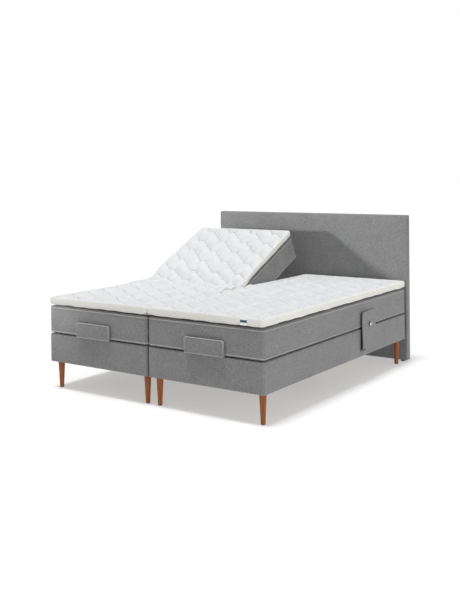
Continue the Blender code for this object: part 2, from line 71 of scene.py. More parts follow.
# Camera. It stands off the right corner of the foot end at standing height, almost level, so that uprights
# stay upright. The lens shift is small and only places the bed in the frame.
foot_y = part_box("motor_box_right")[0].y
camera_yaw, camera_tilt, camera_roll = 0.5935, 0.0197, -0.0103
camera_data = bpy.data.cameras.new("studio_camera")
camera_data.sensor_width = 36.0
camera_data.lens = 50.54
camera_data.shift_x = -0.0392
camera_data.shift_y = -0.1958
camera = bpy.data.objects.new("studio_camera", camera_data)
stage.objects.link(camera)
ahead = Vector((
    -math.sin(camera_yaw) * math.cos(camera_tilt),
    math.cos(camera_yaw) * math.cos(camera_tilt),
    -math.sin(camera_tilt),
))
level = Vector((math.cos(camera_yaw), math.sin(camera_yaw), 0.0))
above = level.cross(ahead)
rightward = math.cos(camera_roll) * level + math.sin(camera_roll) * above
upward = math.cos(camera_roll) * above - math.sin(camera_roll) * level
camera_place = (3.6676, foot_y - 4.1883, 1.5193)
camera_turn = Matrix((rightward, upward, -ahead)).transposed().to_4x4()
camera.matrix_world = Matrix.Translation(camera_place) @ camera_turn
bpy.context.scene.camera = camera
bpy.context.scene.view_settings.view_transform = "Standard"

# Studio. A pale floor under a soft overhead light, a key from the front left that throws the raised back's
# shadow on the headboard, a soft light from the right for the long side, and a pale surround.


def plain_material(name, colour, roughness, metallic=0.0):
    material = bpy.data.materials.new(name)
    material.use_nodes = True
    shader = material.node_tree.nodes["Principled BSDF"]
    shader.inputs["Base Color"].default_value = (*colour, 1.0)
    shader.inputs["Roughness"].default_value = roughness
    shader.inputs["Metallic"].default_value = metallic
    return material


def add_sun(name, towards, strength, spread):
    data = bpy.data.lights.new(name, "SUN")
    data.energy = strength
    data.angle = math.radians(spread)
    lamp = bpy.data.objects.new(name, data)
    lamp.rotation_mode = "QUATERNION"
    lamp.rotation_quaternion = Vector(towards).to_track_quat("-Z", "Y")
    stage.objects.link(lamp)


floor_half = 60
floor_corners = [(x * floor_half, y * floor_half, 0) for x, y in ((-1, -1), (1, -1), (1, 1), (-1, 1))]
floor_mesh = bpy.data.meshes.new("studio_floor")
floor_mesh.from_pydata(floor_corners, [], [(0, 1, 2, 3)])
lit_floor = plain_material("pale_lit_floor", (0.62, 0.62, 0.62), 0.95)
floor_inputs = lit_floor.node_tree.nodes["Principled BSDF"].inputs
floor_inputs["Emission Color"].default_value = (1.0, 1.0, 1.0, 1.0)
floor_inputs["Emission Strength"].default_value = 0.38
floor_inputs["Specular IOR Level"].default_value = 0.0
floor_mesh.materials.append(lit_floor)
floor = bpy.data.objects.new("studio_floor", floor_mesh)
stage.objects.link(floor)

add_sun("overhead_softbox", (0.04, 0.14, -1.0), 2.05, 14)
add_sun("right_side_fill", (-1.0, 0.12, -0.12), 1.28, 40)


lamp_place, lamp_aim = (-3.70, -3.80, 1.30), (3.8, 4.85, -0.35)
lamp_spread, lamp_size = 27, 0.22


def add_front_left_lamp(name, energy):
    data = bpy.data.lights.new(name, "SPOT")
    data.energy = energy
    data.shadow_soft_size = lamp_size
    data.spot_size = math.radians(lamp_spread)
    data.spot_blend = 0.65
    lamp = bpy.data.objects.new(name, data)
    lamp.location = lamp_place
    lamp.rotation_mode = "QUATERNION"
    lamp.rotation_quaternion = Vector(lamp_aim).to_track_quat("-Z", "Y")
    stage.objects.link(lamp)
    return lamp


# The stronger lamp is flagged off the white toppers and the floor, which the weaker one models.
add_front_left_lamp("front_left_lamp", 120)
flagged_lamp = add_front_left_lamp("front_left_flagged_lamp", 780)
lamp_reaches = bpy.data.collections.new("flagged_lamp_reaches")
flagged_lamp.light_linking.receiver_collection = lamp_reaches

world = bpy.data.worlds.new("pale_surround")
world.use_nodes = True
bpy.context.scene.world = world
surround = world.node_tree
light_path = surround.nodes.new("ShaderNodeLightPath")
surround_strength = surround.nodes.new("ShaderNodeMapRange")
surround_strength.inputs["To Min"].default_value = 0.40
surround_strength.inputs["To Max"].default_value = 1.0
surround.links.new(light_path.outputs["Is Camera Ray"], surround_strength.inputs["Value"])
surround.links.new(surround_strength.outputs["Result"], surround.nodes["Background"].inputs["Strength"])
surround.nodes["Background"].inputs["Color"].default_value = (1.0, 1.0, 1.0, 1.0)

# Motor boxes. Each is a board box wrapped in grey melange upholstery, pulled tight over softened edges and
# open above, where the lifting frame stands in it. Inside are bare boards and a ledge with two cross boards.


class Nodes:
    """Short way to write a material's node tree."""

    def __init__(self, material):
        self.tree = material.node_tree
        self.shader = self.tree.nodes["Principled BSDF"]

    def add(self, kind, inputs=(), **settings):
        node = self.tree.nodes.new("ShaderNode" + kind)
        for key, value in settings.items():
            setattr(node, key, value)
        for key, value in dict(inputs).items():
            if isinstance(value, bpy.types.NodeSocket):
                self.tree.links.new(value, node.inputs[key])
            else:
                node.inputs[key].default_value = value
        return node

    def math(self, operation, a, b=0.0):
        return self.add("Math", {0: a, 1: b}, operation=operation).outputs[0]

    def noise(self, where, scale, detail=2.0, roughness=0.5):
        settings = {"Vector": where, "Scale": scale, "Detail": detail, "Roughness": roughness}
        return self.add("TexNoise", settings).outputs["Fac"]

    def stretched(self, where, scale):
        return self.add("Mapping", {"Vector": where, "Scale": scale}).outputs[0]

    def ramp(self, value, *stops):
        node = self.add("ValToRGB", {"Fac": value})
        elements = node.color_ramp.elements
        while len(elements) < len(stops):
            elements.new(0.5)
        for element, (place, colour) in zip(elements, stops):
            element.position = place
            element.color = (*colour, 1.0)
        return node.outputs["Color"]

    def mix(self, share, a, b, blend="MIX"):
        node = self.add("Mix", data_type="RGBA", blend_type=blend)
        for socket, value in (("Factor_Float", share), ("A_Color", a), ("B_Color", b)):
            target = next(s for s in node.inputs if s.identifier == socket)
            if isinstance(value, bpy.types.NodeSocket):
                self.tree.links.new(value, target)
            else:
                target.default_value = value
        return next(s for s in node.outputs if s.identifier == "Result_Color")

    def bump(self, height, strength, distance, under=None):
        inputs = {"Height": height, "Strength": strength, "Distance": distance}
        if under is not None:
            inputs["Normal"] = under
        return self.add("Bump", inputs).outputs["Normal"]

    def colour(self, socket):
        self.tree.links.new(socket, self.shader.inputs["Base Color"])

    def normal(self, socket):
        self.tree.links.new(socket, self.shader.inputs["Normal"])


def woven_cloth(name, dark, light, thread=0.0022, relief=0.0006):
    """Plain weave of slubby melange yarn. It is laid out by the flat cloth's own coordinates."""
    material = plain_material(name, [(a + b) / 2 for a, b in zip(dark, light)], 0.92)
    n = Nodes(material)
    n.shader.inputs["Sheen Weight"].default_value = 0.18
    n.shader.inputs["Sheen Roughness"].default_value = 0.45
    flat = n.add("Attribute", attribute_name="cloth_at").outputs["Vector"]
    spin = n.add("VectorMath", {0: flat, "Scale": 2 * math.pi / thread}, operation="SCALE").outputs[0]
    parts = n.add("SeparateXYZ", {0: spin}).outputs
    waves = [n.math("SINE", part) for part in parts]
    pairs = [n.math("MULTIPLY", waves[a], waves[b]) for a, b in ((0, 1), (1, 2), (2, 0))]
    weave = n.math("ADD", n.math("ADD", pairs[0], pairs[1]), pairs[2])
    upright = n.noise(n.stretched(flat, (420, 420, 95)), 1.0, 2.0)
    across = n.noise(n.stretched(flat, (105, 105, 420)), 1.0, 2.0)
    broad = n.noise(flat, 6.0, 4.0, 0.6)
    slub = n.math("ADD", n.math("MULTIPLY", upright, 0.48), n.math("MULTIPLY", across, 0.42))
    tone = n.math("ADD", slub, n.math("MULTIPLY", broad, 0.10))
    yarn = n.ramp(tone, (0.37, dark), (0.63, light))
    weave_share = n.math("MULTIPLY", n.math("ADD", weave, 2.0), 0.25)
    shade = n.ramp(weave_share, (0.1, (0.72,) * 3), (0.7, (1.0,) * 3))
    n.colour(n.mix(0.8, yarn, shade, "MULTIPLY"))
    slubs = n.bump(slub, 0.35, 0.0015)
    n.normal(n.bump(weave, 0.30, relief, slubs))
    return material


def edge_steps(low, high, radius, cell):
    """Places of the rows across one direction: close together round the two edges, even between."""
    turn = [radius * (1 - math.tan(math.radians(angle))) for angle in (45, 34, 22.5, 11, 0)]
    count = max(1, round((high - low - 2 * radius) / cell))
    middle = np.linspace(low + radius, high - radius, count + 1)[1:-1]
    return np.concatenate([low + np.array(turn), middle, high - np.array(turn[::-1])])


def rounded_block(low, high, radii, cell, rows=None):
    """A closed block with rounded edges. Gives its points, the same points before rounding, and its quads."""
    steps = [edge_steps(a, b, r, c) for a, b, r, c in zip(low, high, radii, cell)]
    if rows is not None:
        steps[2] = rows
    counts = [len(s) for s in steps]
    seen, quads = {}, []

    def corner(index):
        return seen.setdefault(index, len(seen))

    for axis in range(3):
        u, v = [a for a in range(3) if a != axis]
        for end in (0, counts[axis] - 1):
            flip = (end == 0) != (axis == 1)
            for i in range(counts[u] - 1):
                for j in range(counts[v] - 1):
                    ring = []
                    for du, dv in ((0, 0), (1, 0), (1, 1), (0, 1)):
                        index = [0, 0, 0]
                        index[axis], index[u], index[v] = end, i + du, j + dv
                        ring.append(corner(tuple(index)))
                    quads.append(ring[::-1] if flip else ring)
    lattice = np.array(list(seen), int)
    square = np.stack([steps[a][lattice[:, a]] for a in range(3)], 1)
    radii = np.array(radii)
    inner = np.clip(square, np.array(low) + radii, np.array(high) - radii)
    out = (square - inner) / radii
    length = np.linalg.norm(out, axis=1, keepdims=True)
    rounded = inner + out / np.maximum(length, 1e-9) * radii
    return rounded, square, quads


def lay_flat(mesh, flat=None):
    """Writes where each point lies on the flat cloth, which is where it is unless the cloth was bent."""
    if "cloth_at" not in mesh.attributes:
        mesh.attributes.new("cloth_at", "FLOAT_VECTOR", "POINT")
    if flat is None:
        flat = np.empty(len(mesh.vertices) * 3, np.float32)
        mesh.vertices.foreach_get("co", flat)
    mesh.attributes["cloth_at"].data.foreach_set("vector", np.array(flat, np.float32).ravel())


def side_outward(square, low, high, radii):
    """Level direction out of a block's sides, turning round its corners, and nothing on top and below."""
    inner = np.clip(square[:, :2], np.array(low)[:2] + radii[:2], np.array(high)[:2] - radii[:2])
    out = square[:, :2] - inner
    length = np.linalg.norm(out, axis=1, keepdims=True)
    reach = np.minimum(length / min(radii[:2]), 1.0)
    return np.hstack([out / np.maximum(length, 1e-9) * (reach > 0.999), np.zeros((len(out), 1))])


def corner_seam(out, depth):
    """How far a sewn upright corner is drawn in, from the level direction out of the sides."""
    return -depth * (2 * np.abs(out[:, 0] * out[:, 1])) ** 6


def make_piece(name, points, faces, materials, flat=None, face_material=None):
    """Smooth-shaded piece from points. Flat holds where each point lies on the flat cloth."""
    mesh = bpy.data.meshes.new(name)
    mesh.from_pydata([tuple(p) for p in points], [], faces)
    for material in materials:
        mesh.materials.append(material)
    if face_material is not None:
        mesh.polygons.foreach_set("material_index", np.array(face_material, np.int32))
    mesh.shade_smooth()
    lay_flat(mesh, flat)
    piece = bpy.data.objects.new(name, mesh)
    stage.objects.link(piece)
    return piece


def settle(piece):
    """Applies a piece's modifiers."""
    graph = bpy.context.evaluated_depsgraph_get()
    mesh = bpy.data.meshes.new_from_object(piece.evaluated_get(graph))
    piece.modifiers.clear()
    piece.data = mesh
    lay_flat(mesh)


def cut_out(piece, low, high, material):
    """Cuts a box out of a piece. The cut faces take the material."""
    corners = [(x, y, z) for x in (low[0], high[0]) for y in (low[1], high[1]) for z in (low[2], high[2])]
    faces = [(0, 1, 3, 2), (4, 6, 7, 5), (0, 4, 5, 1), (2, 3, 7, 6), (0, 2, 6, 4), (1, 5, 7, 3)]
    cutter = make_piece("cutter", corners, faces, [material])
    cutter.data.shade_flat()
    modifier = piece.modifiers.new("cut", "BOOLEAN")
    modifier.object = cutter
    modifier.operation = "DIFFERENCE"
    modifier.material_mode = "TRANSFER"
    settle(piece)
    bpy.data.objects.remove(cutter)


grey_cloth = woven_cloth("grey_melange_weave", (0.138, 0.139, 0.141), (0.322, 0.323, 0.326))
piping_cloth = woven_cloth("grey_piping", (0.300, 0.301, 0.303), (0.500, 0.501, 0.504))

raw_board = plain_material("raw_pine_board", (0.52, 0.36, 0.20), 0.75)
board = Nodes(raw_board)
board_at = board.add("TexCoord").outputs["Object"]
board_grain = board.noise(board.stretched(board_at, (90, 3, 90)), 1.0, 5.0, 0.65)
board.colour(board.ramp(board_grain, (0.35, (0.40, 0.26, 0.13)), (0.65, (0.62, 0.45, 0.27))))
board.normal(board.bump(board_grain, 0.2, 0.0006))

wall, box_floor, ledge = 0.030, 0.018, 0.100
drawn_in_at_corners, drawn_in_between_boxes = 0.0040, 0.0035
past_the_board = 0.05
cross_boards = ((0.62, 0.70), (1.22, 1.30))
box_rounding = np.array((0.014, 0.014, 0.008))
for side in ("left", "right"):
    low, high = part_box(f"motor_box_{side}")
    points, square, quads = rounded_block(low, high, box_rounding, (0.05, 0.05, 0.03))
    out = side_outward(square, low, high, box_rounding)
    points += out * corner_seam(out, drawn_in_at_corners)[:, None]
    faces_other_box = np.sign(out[:, 0]) * (low.x + high.x) < 0
    points[:, 0] += np.where(faces_other_box, -drawn_in_between_boxes * out[:, 0], 0.0)
    cover = make_piece(f"box_cover_{side}", points, quads, [grey_cloth, raw_board])
    floor_z = low.z + box_floor
    bay_low = (low.x + wall, low.y + wall, floor_z)
    bay_high = (high.x - wall, high.y - wall, high.z + past_the_board)
    cut_out(cover, bay_low, bay_high, raw_board)
    edges = [ledge, *(edge for board_run in cross_boards for edge in board_run), high.y - low.y - ledge]
    for near, far in zip(edges[::2], edges[1::2]):
        window_low = (low.x + ledge, low.y + near, low.z - past_the_board)
        cut_out(cover, window_low, (high.x - ledge, low.y + far, floor_z + 0.001), raw_board)
    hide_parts(f"motor_box_{side}")
    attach(cover, "base")

# Legs. Turned and tapered beech, stained reddish brown and lacquered, screwed up into the corner blocks of
# the box. A dark felt disc is glued under each.
stained_beech = plain_material("stained_beech", (0.25, 0.09, 0.03), 0.50)
beech = Nodes(stained_beech)
beech.shader.inputs["Coat Weight"].default_value = 0.08
beech.shader.inputs["Coat Roughness"].default_value = 0.25
beech.shader.inputs["Specular IOR Level"].default_value = 0.30
beech_at = beech.add("TexCoord").outputs["Object"]
long_grain = beech.noise(beech.stretched(beech_at, (160, 160, 9)), 1.0, 6.0, 0.6)
rays = beech.noise(beech.stretched(beech_at, (700, 700, 60)), 1.0, 2.0, 0.5)
stain = beech.math("ADD", beech.math("MULTIPLY", long_grain, 0.75), beech.math("MULTIPLY", rays, 0.25))
stain_tones = ((0.34, (0.140, 0.033, 0.004)), (0.52, (0.300, 0.084, 0.009)), (0.70, (0.430, 0.142, 0.019)))
beech.colour(beech.ramp(stain, *stain_tones))
beech.normal(beech.bump(rays, 0.15, 0.0004))
black_felt = plain_material("black_felt", (0.02, 0.02, 0.02), 0.98)
felt = Nodes(black_felt)
felt_fluff = felt.noise(felt.add("TexCoord").outputs["Object"], 900.0, 3.0)
felt.colour(felt.ramp(felt_fluff, (0.3, (0.012, 0.012, 0.013)), (0.7, (0.035, 0.034, 0.033))))


def turned(name, profile, centre, materials, bands=(), sides=48):
    """Solid of revolution about Z from (radius, height) pairs, closed at both ends."""
    points, faces, slots = [], [], []
    for radius, height in profile:
        for k in range(sides):
            angle = 2 * math.pi * k / sides
            x, y = centre[0] + radius * math.cos(angle), centre[1] + radius * math.sin(angle)
            points.append((x, y, height))
    for row in range(len(profile) - 1):
        for k in range(sides):
            a, b = row * sides + k, row * sides + (k + 1) % sides
            faces.append((a, a + sides, b + sides, b))
            slots.append(int(row in bands))
    faces.append(tuple(range(sides)))
    faces.append(tuple(range((len(profile) - 1) * sides, len(profile) * sides))[::-1])
    slots += [0, int(bool(bands))]
    piece = make_piece(name, points, faces, materials, face_material=slots)
    piece.data.set_sharp_from_angle(angle=math.radians(35))
    return piece


top_radius, foot_radius, waist = 0.0235, 0.0148, 0.0006
taper_steps, taper_end = 9, 0.006
for side in ("left", "right"):
    for place in ("foot_outer", "foot_inner", "head_outer", "head_inner"):
        node = f"leg_{place}_{side}"
        low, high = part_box(node)
        centre = ((low.x + high.x) / 2, (low.y + high.y) / 2)
        profile = [(top_radius - 0.001, high.z), (top_radius, high.z - 0.001)]
        for step in range(1, taper_steps):
            share = step / taper_steps
            radius = top_radius + (foot_radius - top_radius) * share - waist * math.sin(math.pi * share)
            profile.append((radius, high.z + (taper_end - high.z) * share))
        profile += [(foot_radius + 0.0002, taper_end), (foot_radius - 0.0006, 0.0038)]
        profile.append((foot_radius - 0.002, 0.0030))
        felt_row = len(profile)
        profile += [(foot_radius - 0.0022, 0.0028), (foot_radius - 0.0022, 0.0003)]
        leg = turned(f"turned_{node}", profile, centre, [stained_beech, black_felt], (felt_row - 1, felt_row))
        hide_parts(node)
        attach(leg, "base")

# Steel inside the boxes: the fixed frame, the two lifting frames with their levers, the knee pins, the twin
# drives with their nylon nuts, and the brackets to the headboard. They keep their made shapes.


def worn_metal(name, base, worn, roughness, metallic):
    material = plain_material(name, base, roughness, metallic)
    n = Nodes(material)
    at = n.add("TexCoord").outputs["Object"]
    cloud = n.noise(at, 38.0, 6.0, 0.65)
    grit = n.noise(at, 1400.0, 2.0)
    n.colour(n.ramp(cloud, (0.35, base), (0.75, worn)))
    dullness = n.ramp(cloud, (0.3, (roughness - 0.08,) * 3), (0.7, (roughness + 0.12,) * 3))
    n.tree.links.new(dullness, n.shader.inputs["Roughness"])
    n.normal(n.bump(grit, 0.25, 0.0003))
    return material


powder_coat = worn_metal("black_powder_coat", (0.030, 0.031, 0.033), (0.055, 0.056, 0.058), 0.45, 0.2)
zinc = worn_metal("zinc_plate", (0.50, 0.51, 0.52), (0.66, 0.66, 0.64), 0.32, 1.0)
black_shell = worn_metal("black_moulding", (0.016, 0.016, 0.017), (0.026, 0.026, 0.027), 0.50, 0.0)
nylon = worn_metal("white_nylon", (0.60, 0.59, 0.55), (0.68, 0.66, 0.62), 0.42, 0.0)


def finish_node(name, material):
    node = frame["nodes"][name]
    node.data.materials.clear()
    node.data.materials.append(material)
    return node


for side in ("left", "right"):
    for word in ("base_frame", "back_frame", "thigh_frame"):
        finish_node(f"{word}_{side}", powder_coat)
    for word in ("knee_pin", "headboard_bracket"):
        finish_node(f"{word}_{side}", zinc)
    finish_node(f"drive_housing_{side}", black_shell)
    for word in ("back_slider", "leg_slider"):
        finish_node(f"{word}_{side}", nylon)

# Decks. Birch plywood panels on battens, which carry the mattress: seat, back, thigh and calf. The plies show
# along their edges.
birch_ply = plain_material("birch_plywood", (0.60, 0.45, 0.28), 0.62)
ply = Nodes(birch_ply)
ply_at = ply.add("TexCoord").outputs["Object"]
figure = ply.noise(ply.stretched(ply_at, (14, 1.6, 14)), 1.0, 5.0, 0.6)
pores = ply.noise(ply.stretched(ply_at, (420, 26, 420)), 1.0, 2.0)
ply_tone = ply.math("ADD", ply.math("MULTIPLY", figure, 0.7), ply.math("MULTIPLY", pores, 0.3))
ply.colour(ply.ramp(ply_tone, (0.35, (0.46, 0.32, 0.18)), (0.65, (0.68, 0.53, 0.35))))
ply.normal(ply.bump(pores, 0.15, 0.0004))
for side in ("left", "right"):
    for word in ("seat_deck", "back_deck", "thigh_deck", "calf_deck"):
        finish_node(f"{word}_{side}", birch_ply)

# Mattresses. Pocket-spring cores in grey covers, flush with the boxes, with a piped edge above and below.
# Each is one mattress, cut here into three lengths, calf, thigh and back; the left one is bent up at the back
# hinge.
joints = {joint["name"]: joint for joint in frame["joints"]}
raised = -math.radians(joints["back_lift_left"]["range_deg"][0])
back_hinge = np.array(joints["back_lift_left"]["pos_m"])
bed_length = 2.0
head_y = foot_y + bed_length
splits = (foot_y + 0.600, foot_y + 0.860)
calf_end = foot_y + 0.360
bend_top, bend_middle = 0.665, 0.5
section_tilt = math.radians(13)
flat_bend, raised_bend = 0.500, 0.372
bend_rounds = 60


def back_bend_line(side):
    """Where a back's bend starts and ends. The raised back's sections lean, so its line leans with them."""
    start = np.array((0.0, splits[1], bend_top))
    if side == "right":
        return start, start + np.array((0.0, flat_bend, 0.0))
    return start, start + raised_bend * np.array((0.0, math.cos(section_tilt), math.sin(section_tilt)))


def turn_share(points, start, end):
    along = end - start
    share = np.clip((points - start) @ along / (along @ along), 0, 1)
    return share * share * (3 - 2 * share)


def lay_on_back(points, side):
    """Bends flat points to the side's pose at rest."""
    if side == "right":
        return points
    start, end = back_bend_line(side)
    arm = points - back_hinge
    rest = points.copy()
    for _ in range(bend_rounds):
        turn = raised * turn_share(rest, start, end)
        rest[:, 1] = back_hinge[1] + arm[:, 1] * np.cos(turn) - arm[:, 2] * np.sin(turn)
        rest[:, 2] = back_hinge[2] + arm[:, 1] * np.sin(turn) + arm[:, 2] * np.cos(turn)
    return rest


def point_normals(points, faces):
    a, b, c, d = (points[faces[:, k]] for k in range(4))
    face_normals = np.cross(c - a, d - b)
    normals = np.zeros_like(points)
    for k in range(4):
        np.add.at(normals, faces[:, k], face_normals)
    return normals / np.maximum(np.linalg.norm(normals, axis=1, keepdims=True), 1e-12)


def bedding_lengths(name, side, flat, faces, face_material, materials, stands_for, butted=None):
    """Cuts one flat form at the splits, bends it to rest, and makes each length a closed piece.

    Faces butted against the other half don't round off the shading along their edges.
    """
    rest = lay_on_back(flat, side)
    faces = np.array(faces)
    normals = point_normals(rest, faces)
    if butted is not None:
        open_normals = point_normals(rest, faces[~butted])
        normals = np.where(np.abs(open_normals).sum(1, keepdims=True) > 0, open_normals, normals)
    middle = flat[faces][:, :, 1].mean(1)
    bounds = (-1e9, *splits, 1e9)
    start, end = back_bend_line(side)
    knee_start, knee_end = (0.0, splits[0], bend_middle), (0.0, calf_end, bend_middle)
    thigh_start, thigh_end = (0.0, splits[1], bend_middle), (0.0, splits[0], bend_middle)
    rides = (
        (f"thigh_{side}", f"calf_{side}", knee_start, knee_end),
        ("base", f"thigh_{side}", thigh_start, thigh_end),
        ("base", f"back_{side}", start, end),
    )
    for number, (word, ride) in enumerate(zip(("calf", "thigh", "back"), rides)):
        mine = (middle > bounds[number]) & (middle < bounds[number + 1])
        used, local = np.unique(faces[mine], return_inverse=True)
        local = local.reshape(-1, 4)
        quads = local.tolist()
        slots = np.array(face_material)[mine].tolist()
        loops = [normals[v] for v in faces[mine].ravel()]
        sides = np.concatenate([local[:, [k, (k + 1) % 4]] for k in range(4)])
        open_edges = set(map(tuple, sides.tolist())) - set(map(tuple, sides[:, ::-1].tolist()))
        nexts = {b: a for a, b in open_edges}
        while nexts:
            first, here = next(iter(nexts.items()))
            ring = [first]
            del nexts[first]
            while here != first:
                ring.append(here)
                here = nexts.pop(here)
            quads.append(ring)
            slots.append(face_material[0])
            loops += [Vector((0, 0, 0))] * len(ring)
        piece = make_piece(f"{name}_cover_{word}_{side}", rest[used], quads, materials, flat[used], slots)
        piece.data.polygons.foreach_set("use_smooth", [len(q) == 4 for q in quads])
        piece.data.normals_split_custom_set([tuple(v) for v in loops])
        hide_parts(*stands_for[number])
        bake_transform(piece)


def smooth_step(value, low, high):
    share = np.clip((value - low) / (high - low), 0, 1)
    return share * share * (3 - 2 * share)


def ridge(value, centre, width):
    return np.exp(-(((value - centre) / width) ** 2))


mattress_low_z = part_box("mattress_calf_right")[0].z
mattress_top_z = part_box("mattress_calf_right")[1].z
mattress_rounding = np.array((0.018, 0.018, 0.008))
piping_inset, piping_width, piping_height = 0.0118, 0.0021, 0.0030
shy_of_box, shy_of_other = 0.001, 0.0035
crowned, rippled, creased, seam_depth = 0.0016, 0.0009, 0.0050, 0.0045
creases = ((0.30, 0.05, 0.8), (0.44, 0.16, 1.2), (0.56, 0.20, 1.0), (0.70, 0.10, 0.9))
for side in ("left", "right"):
    low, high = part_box(f"mattress_calf_{side}")
    shy_low, shy_high = (shy_of_other, shy_of_box) if side == "right" else (shy_of_box, shy_of_other)
    low = np.array((low.x + shy_low, foot_y + shy_of_box, mattress_low_z))
    high = np.array((high.x - shy_high, head_y - shy_of_box, mattress_top_z))
    tall = high[2] - low[2]
    near_edge = [mattress_rounding[2] * (1 - math.tan(math.radians(a))) for a in (45, 30, 15, 0)]
    near_edge += [0.0093, 0.0106, 0.0118, 0.0130, 0.0143, 0.017]
    near_edge = np.array(near_edge)
    between = np.linspace(near_edge[-1], tall - near_edge[-1], 22)[1:-1]
    rows = low[2] + np.concatenate([near_edge, between, tall - near_edge[::-1]])
    flat, square, quads = rounded_block(low, high, mattress_rounding, (0.016, 0.012, 0.016), rows)
    for split in splits:
        nearest = np.unique(square[:, 1])[np.abs(np.unique(square[:, 1]) - split).argmin()]
        flat[square[:, 1] == nearest, 1] = split
        square[square[:, 1] == nearest, 1] = split
    outward = side_outward(square, low, high, mattress_rounding)
    up = (square[:, 2] - low[2]) / tall
    belly = crowned * np.sin(math.pi * np.clip(up, 0, 1))
    from_head = high[1] - square[:, 1]
    pull = np.zeros(len(flat))
    for height, lean, strength in creases:
        crease = ridge(up, height + lean * from_head / 0.4, 0.022)
        pull -= creased * strength * crease * smooth_step(from_head, 0.30, 0.02)
    ripple = rippled * np.sin(square[:, 1] * 21 + 2.0 * up) * np.sin(square[:, 0] * 8.3 + 1.0)
    ripple = ripple * np.sin(math.pi * up)
    piping = piping_height * (
        ridge(square[:, 2], low[2] + piping_inset, piping_width)
        + ridge(square[:, 2], high[2] - piping_inset, piping_width)
    )
    drawn_in = corner_seam(outward, seam_depth) * smooth_step(np.minimum(up, 1 - up), 0.02, 0.12)
    flat += outward * (belly + ripple + piping + drawn_in + pull * np.abs(outward[:, 0]))[:, None]
    stands_for = (
        (f"mattress_calf_{side}",),
        (f"mattress_leg_bend_{side}",),
        (f"mattress_back_bend_{side}", f"mattress_back_{side}"),
    )
    quad_height = square[np.array(quads)][:, :, 2].mean(1)
    from_edge = np.minimum(quad_height - low[2], high[2] - quad_height)
    is_piping = (np.abs(from_edge - piping_inset) < piping_width).astype(int).tolist()
    cloths = [grey_cloth, piping_cloth]
    bedding_lengths("mattress", side, flat, quads, is_piping, cloths, stands_for)

# Toppers. Soft foam in a white ticking, quilted above in slanting wavy lines, with a cream knitted border.
# The two halves butt together at the foot. They are parted at the head, where a double bead binds the edge.
line_spacing, wave_length, wave_height = 0.152, 0.215, 0.0130
line_start = (-0.763, foot_y + 1.794)


def quilt_nodes(material):
    """Fine knit, with a run of stitches along each wave, and painted shade in a narrow band along each line."""
    n = Nodes(material)
    flat = n.add("Attribute", attribute_name="cloth_at").outputs["Vector"]
    parts = n.add("SeparateXYZ", {0: flat}).outputs
    turns = n.math("DIVIDE", n.math("SUBTRACT", parts[0], line_start[0]), wave_length)
    angle = n.math("MULTIPLY", turns, 2 * math.pi)
    double = n.math("MULTIPLY", n.math("SINE", n.math("MULTIPLY", angle, 2.0)), 0.5)
    triple = n.math("MULTIPLY", n.math("SINE", n.math("MULTIPLY", angle, 3.0)), 0.4)
    swing = n.math("ADD", n.math("ADD", n.math("SINE", angle), double), triple)
    slant = n.math("MULTIPLY", turns, line_spacing)
    line_y = n.math("SUBTRACT", n.math("MULTIPLY", swing, wave_height), slant)
    from_line = n.math("SUBTRACT", n.math("SUBTRACT", parts[1], line_start[1]), line_y)
    phase = n.math("DIVIDE", from_line, line_spacing)
    nearest = n.math("ABSOLUTE", n.math("SUBTRACT", phase, n.math("ROUND", phase)))
    away = n.math("MULTIPLY", nearest, line_spacing * 0.72)
    line = n.math("LESS_THAN", away, 0.0016)
    beat = n.math("SINE", n.math("MULTIPLY", parts[0], 2 * math.pi / 0.0055))
    stitch = n.math("MULTIPLY", line, n.math("GREATER_THAN", beat, -0.4))
    knit = n.noise(n.stretched(flat, (420, 620, 420)), 1.0, 3.0)
    broad = n.noise(flat, 9.0, 4.0)
    tone = n.ramp(broad, (0.35, (0.685, 0.695, 0.705)), (0.65, (0.725, 0.732, 0.738)))
    # Painted shade: the colour darkens within 3.8 mm of each quilting line, standing in for the shade in the
    # groove.
    painted_line_shade = n.math("MULTIPLY", n.math("LESS_THAN", away, 0.0038), 0.30)
    shaded = n.mix(painted_line_shade, tone, (0.46, 0.47, 0.49, 1.0))
    n.colour(n.mix(stitch, shaded, (0.50, 0.51, 0.53, 1.0)))
    fine = n.bump(knit, 0.30, 0.0010)
    n.normal(n.bump(stitch, 0.5, 0.0008, fine))


white_ticking = plain_material("white_quilted_ticking", (0.79, 0.80, 0.81), 0.88)
white_ticking.node_tree.nodes["Principled BSDF"].inputs["Sheen Weight"].default_value = 0.15
quilt_nodes(white_ticking)

cream_knit = plain_material("cream_border_knit", (0.74, 0.72, 0.66), 0.90)
knit = Nodes(cream_knit)
knit.shader.inputs["Sheen Weight"].default_value = 0.20
knit_at = knit.add("Attribute", attribute_name="cloth_at").outputs["Vector"]
knit_parts = knit.add("SeparateXYZ", {0: knit_at}).outputs
rib = knit.math("SINE", knit.math("MULTIPLY", knit_parts[2], 2 * math.pi / 0.0032))
fluff = knit.noise(knit.stretched(knit_at, (500, 500, 300)), 1.0, 3.0)
smudge = knit.noise(knit_at, 4.0, 3.0)
knit.colour(knit.ramp(smudge, (0.3, (0.700, 0.682, 0.630)), (0.7, (0.760, 0.750, 0.712))))
knit.normal(knit.bump(rib, 0.25, 0.0006, knit.bump(fluff, 0.3, 0.0008)))

